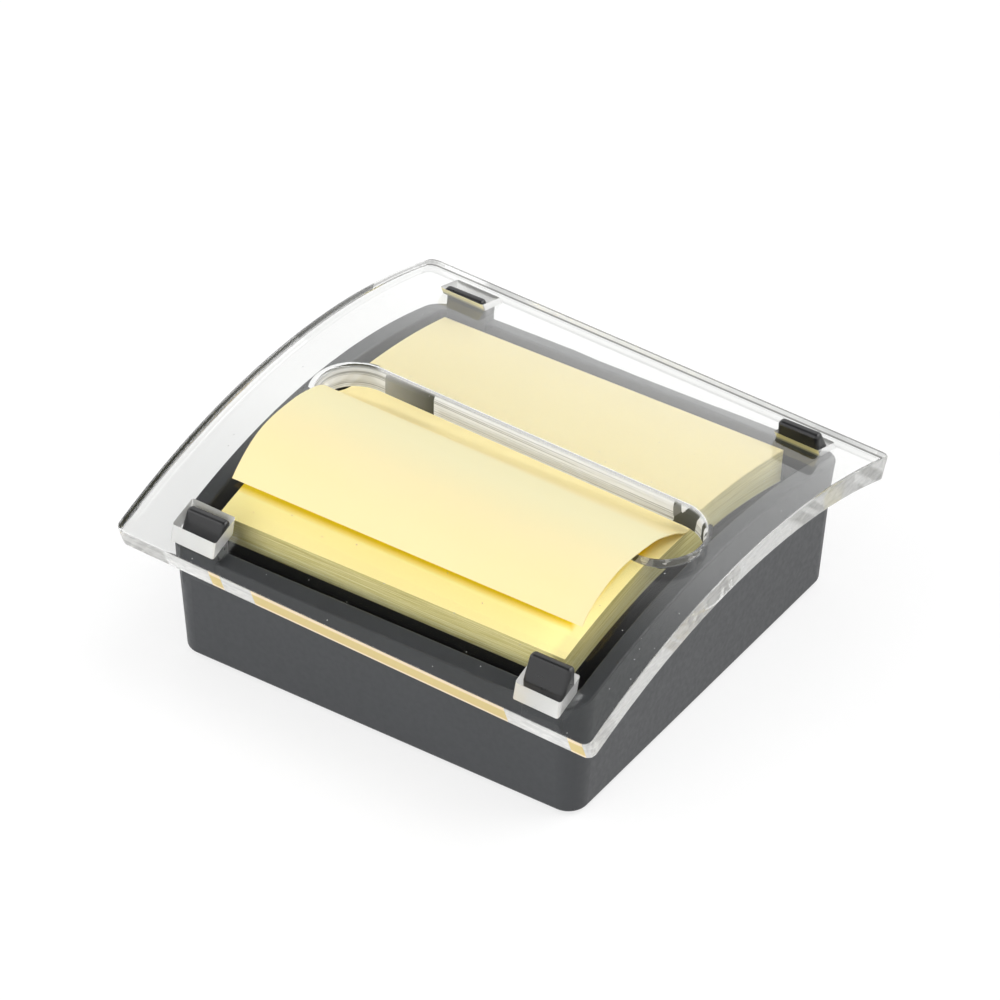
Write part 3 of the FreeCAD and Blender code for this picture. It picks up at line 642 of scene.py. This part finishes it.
def pad_paper():
    """The stack: pale on its top, olive and finely lined on its cut edges.

    The strip in front of the popped note carries a painted shadow of that note by its edge, a painted lighter
    tone further forward, and a painted glow for the light that comes through that note.
    """
    recipe = Recipe("yellow_paper").set(Roughness=0.75, IOR=1.4)
    across, along, height = recipe.parts(recipe.place)
    level = recipe.arch_level(across, along, height)[1]
    facing = recipe.parts(recipe.nodes.new("ShaderNodeNewGeometry").outputs["Normal"])
    lines = recipe.layers(across, along, level, PAD_LINE_SCALE, PAD_LINE_STRETCH)
    side_end = SHEET_SIDE + SHEET_SIDE_SOFT
    clear_of_sheet = recipe.largest(
        recipe.spread(along, 1, 0, SHEET_SHADE_END - SHEET_SHADE_SOFT, SHEET_SHADE_END),
        recipe.spread(across, 0, 1, SHEET_SIDE, side_end))
    # The strip in front of the popped note: painted shadow by the note, painted light further forward
    front = recipe.blend(clear_of_sheet, PAD_SHADED, PAD_OPEN_LIT)
    behind = recipe.blend(recipe.noise(45, 2), *PAD_BEHIND)
    top = recipe.blend(recipe.spread(along, 0, 1, *PAD_BACK_BEGINS), front, behind)
    edge = pad_edge(recipe, facing[1], level, lines)
    recipe.set(Base_Color=recipe.blend(recipe.spread(facing[2], 0, 1, 0.3, 0.5), edge, top))
    recipe.bump(lines, PAD_LINE_RELIEF, 0.6)
    # Painted glow under the popped note, where no lamp is
    under_sheet = recipe.times(recipe.spread(facing[2], 0, 1, 0.6, 0.8),
                               recipe.spread(along, 1, 0, *SHEET_GLOW_ENDS))
    extra = recipe.times(clear_of_sheet, recipe.spread(along, 0.24, 0.36, PAD_FRONT, SHEET_SHADE_END))
    strength = recipe.times(recipe.maths("ADD", SHEET_GLOW, extra),
                            recipe.spread(across, 1, 0.5, SHEET_SIDE, side_end))
    glow = recipe.plain("Emission", recipe.blend(clear_of_sheet, GLOW_SHADED, GLOW_OPEN),
                        Strength=recipe.times(under_sheet, strength))
    return recipe.finish(recipe.add_shaders(recipe.shader.outputs[0], glow))


def steel(name, tone, rough):
    """Rolled or plated steel with fine streaks."""
    recipe = Recipe(name).set(Metallic=1.0)
    streaks = recipe.noise(400, 2, 0.5, recipe.stretched((1, 12, 1)))
    darker = (tone * 0.85, tone * 0.85, tone * 0.86)
    recipe.set(Base_Color=recipe.blend(streaks, grey(tone), darker),
               Roughness=recipe.spread(streaks, rough, rough + 0.12))
    return recipe.bump(streaks, 0.005 * MM, 0.3).material


def rubber():
    """Matte black rubber."""
    recipe = Recipe("black_rubber").set(IOR=1.5)
    recipe.set(Base_Color=recipe.blend(recipe.noise(300, 3), *RUBBER_BLACKS),
               Roughness=recipe.spread(recipe.noise(1200, 3), 0.7, 0.85))
    return recipe.bump(recipe.noise(2500, 3), 0.03 * MM, 0.5).material


def floor_material():
    """A pale floor. Seen straight, most of its tone is its own, so that shadows on it stay light."""
    recipe = Recipe("floor").set(Roughness=0.8, Specular_IOR_Level=0.0, Base_Color=grey(FLOOR_TONE))
    seen = recipe.add_shaders(recipe.plain("BsdfDiffuse", grey(FLOOR_LIT)),
                              recipe.plain("Emission", WHITE, Strength=FLOOR_GLOW))
    return recipe.finish(recipe.mix_shaders(recipe.mirrored_or_seen(), recipe.shader.outputs[0], seen))


def make_floor():
    """A wide plain floor at the feet's level."""
    bpy.ops.mesh.primitive_plane_add(size=FLOOR_SIZE, location=(0, 0, 0))
    floor = bpy.context.object
    floor.name = "floor"
    floor.data.materials.append(floor_material())


def dress(node, material):
    """Gives a carried-over node its finish."""
    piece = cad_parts[node]
    piece.data.materials.clear()
    piece.data.materials.append(material)


make_camera()
make_world()
make_floor()
for lamp_name, lamp_values in LAMPS.items():
    area_light(lamp_name, *lamp_values)

plastic = black_plastic()
dress("base_shell", plastic)
dress("bottom_cover", plastic)
dress("weight_plate", steel("plain_steel", 0.55, 0.35))
dress("clear_lid", LidPlastic().build())
dress("note_pad", pad_paper())
dress("popped_note", note_paper())
screw_metal = steel("screw_steel", 0.6, 0.25)
foot_rubber = rubber()
for number in (1, 2, 3, 4):
    dress("cover_screw_%d" % number, screw_metal)
    dress("foot_%d" % number, foot_rubber)

bpy.context.scene.view_settings.view_transform = "Standard"
